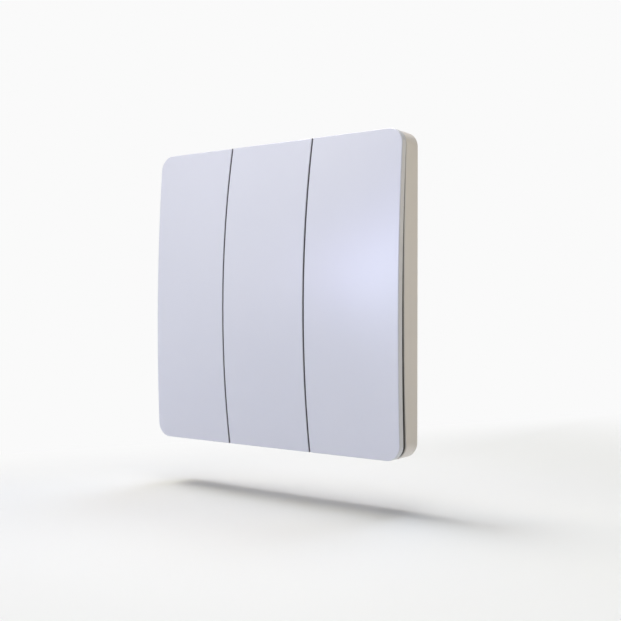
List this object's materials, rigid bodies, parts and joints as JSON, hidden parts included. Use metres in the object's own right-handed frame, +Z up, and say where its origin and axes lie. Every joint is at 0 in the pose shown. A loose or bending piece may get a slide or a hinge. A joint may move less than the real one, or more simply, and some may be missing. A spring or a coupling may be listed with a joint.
{
  "type": "wireless remote wall switch",
  "caption": "Square wireless wall switch with tall crowned keys hinged at the top, clipped over a wall plate, with its coin cell under a turn cover at the back.",
  "frame": {"origin": "centre of the wall plate's back face, midway between its two screw slots, in the wall plane", "axes": "+Y into the wall, +Z up the wall with the key hinges at the top, +X to the right seen from the room"},
  "size_m": [0.086, 0.0126, 0.086],
  "materials": {
    "key_plastic": "satin moulded white",
    "housing_plastic": "fine satin moulded white",
    "carrier_plastic": "fine matt grey moulding",
    "plate_plastic": "fine matt moulding",
    "cover_plastic": "fine matt moulding",
    "tape_foam": "closed foam tape",
    "screw_steel": "zinc plated",
    "contact_steel": "bright spring steel",
    "cell_steel": "bright pressed steel",
    "board_laminate": "solder mask over glass laminate",
    "switch_plastic": "matt moulding",
    "plunger_plastic": "matt moulding",
    "shield_steel": "tinned sheet",
    "capacitor_can": "drawn can",
    "lamp_resin": "clear resin",
    "chip_ceramic": "fired ceramic and moulded resin"
  },
  "bodies": {
    "base": {"rear_housing": "housing_plastic", "wall_plate": "plate_plastic", "tape_pad_top": "tape_foam", "tape_pad_bottom": "tape_foam", "coin_cell": "cell_steel", "contact_negative": "contact_steel", "contact_positive": "contact_steel", "circuit_board": "board_laminate", "board_screws": "screw_steel", "housing_screws": "screw_steel", "radio_board": "board_laminate", "radio_shield": "shield_steel", "buffer_capacitor": "capacitor_can", "status_led": "lamp_resin", "chip_parts": "chip_ceramic", "key_carrier": "carrier_plastic", "switch_case_left": "switch_plastic", "switch_dome_left": "contact_steel", "switch_cover_left": "shield_steel", "switch_case_centre": "switch_plastic", "switch_dome_centre": "contact_steel", "switch_cover_centre": "shield_steel", "switch_case_right": "switch_plastic", "switch_dome_right": "contact_steel", "switch_cover_right": "shield_steel"},
    "left_key": {"key_left": "key_plastic"},
    "centre_key": {"key_centre": "key_plastic"},
    "right_key": {"key_right": "key_plastic"},
    "left_plunger": {"switch_plunger_left": "plunger_plastic"},
    "centre_plunger": {"switch_plunger_centre": "plunger_plastic"},
    "right_plunger": {"switch_plunger_right": "plunger_plastic"},
    "cell_cover": {"battery_cover": "cover_plastic"}
  },
  "joints": [
    {"name": "left_key_hinge", "type": "hinge", "parent": "base", "child": "left_key", "pos_m": [-0.0288, -0.0051, 0.037], "axis": [1, 0, 0], "range_deg": [0, 0.45], "stiffness_Nm_per_rad": 3, "springref_deg": -0.57},
    {"name": "centre_key_hinge", "type": "hinge", "parent": "base", "child": "centre_key", "pos_m": [0, -0.0051, 0.037], "axis": [1, 0, 0], "range_deg": [0, 0.45], "stiffness_Nm_per_rad": 3, "springref_deg": -0.57},
    {"name": "right_key_hinge", "type": "hinge", "parent": "base", "child": "right_key", "pos_m": [0.0288, -0.0051, 0.037], "axis": [1, 0, 0], "range_deg": [0, 0.45], "stiffness_Nm_per_rad": 3, "springref_deg": -0.57},
    {"name": "left_plunger_slide", "type": "slide", "parent": "base", "child": "left_plunger", "axis": [0, 1, 0], "range_m": [0, 0.00036], "deforming": ["switch_dome_left"]},
    {"name": "centre_plunger_slide", "type": "slide", "parent": "base", "child": "centre_plunger", "axis": [0, 1, 0], "range_m": [0, 0.00036], "deforming": ["switch_dome_centre"]},
    {"name": "right_plunger_slide", "type": "slide", "parent": "base", "child": "right_plunger", "axis": [0, 1, 0], "range_m": [0, 0.00036], "deforming": ["switch_dome_right"]},
    {"name": "battery_cover_turn", "type": "hinge", "parent": "base", "child": "cell_cover", "pos_m": [0, -0.0023, 0.014], "axis": [0, 1, 0], "range_deg": [0, 40]}
  ],
  "couplings": [
    {"joint": "left_plunger_slide", "follows": "left_key_hinge", "m_per_rad": 0.045},
    {"joint": "centre_plunger_slide", "follows": "centre_key_hinge", "m_per_rad": 0.045},
    {"joint": "right_plunger_slide", "follows": "right_key_hinge", "m_per_rad": 0.045}
  ]
}
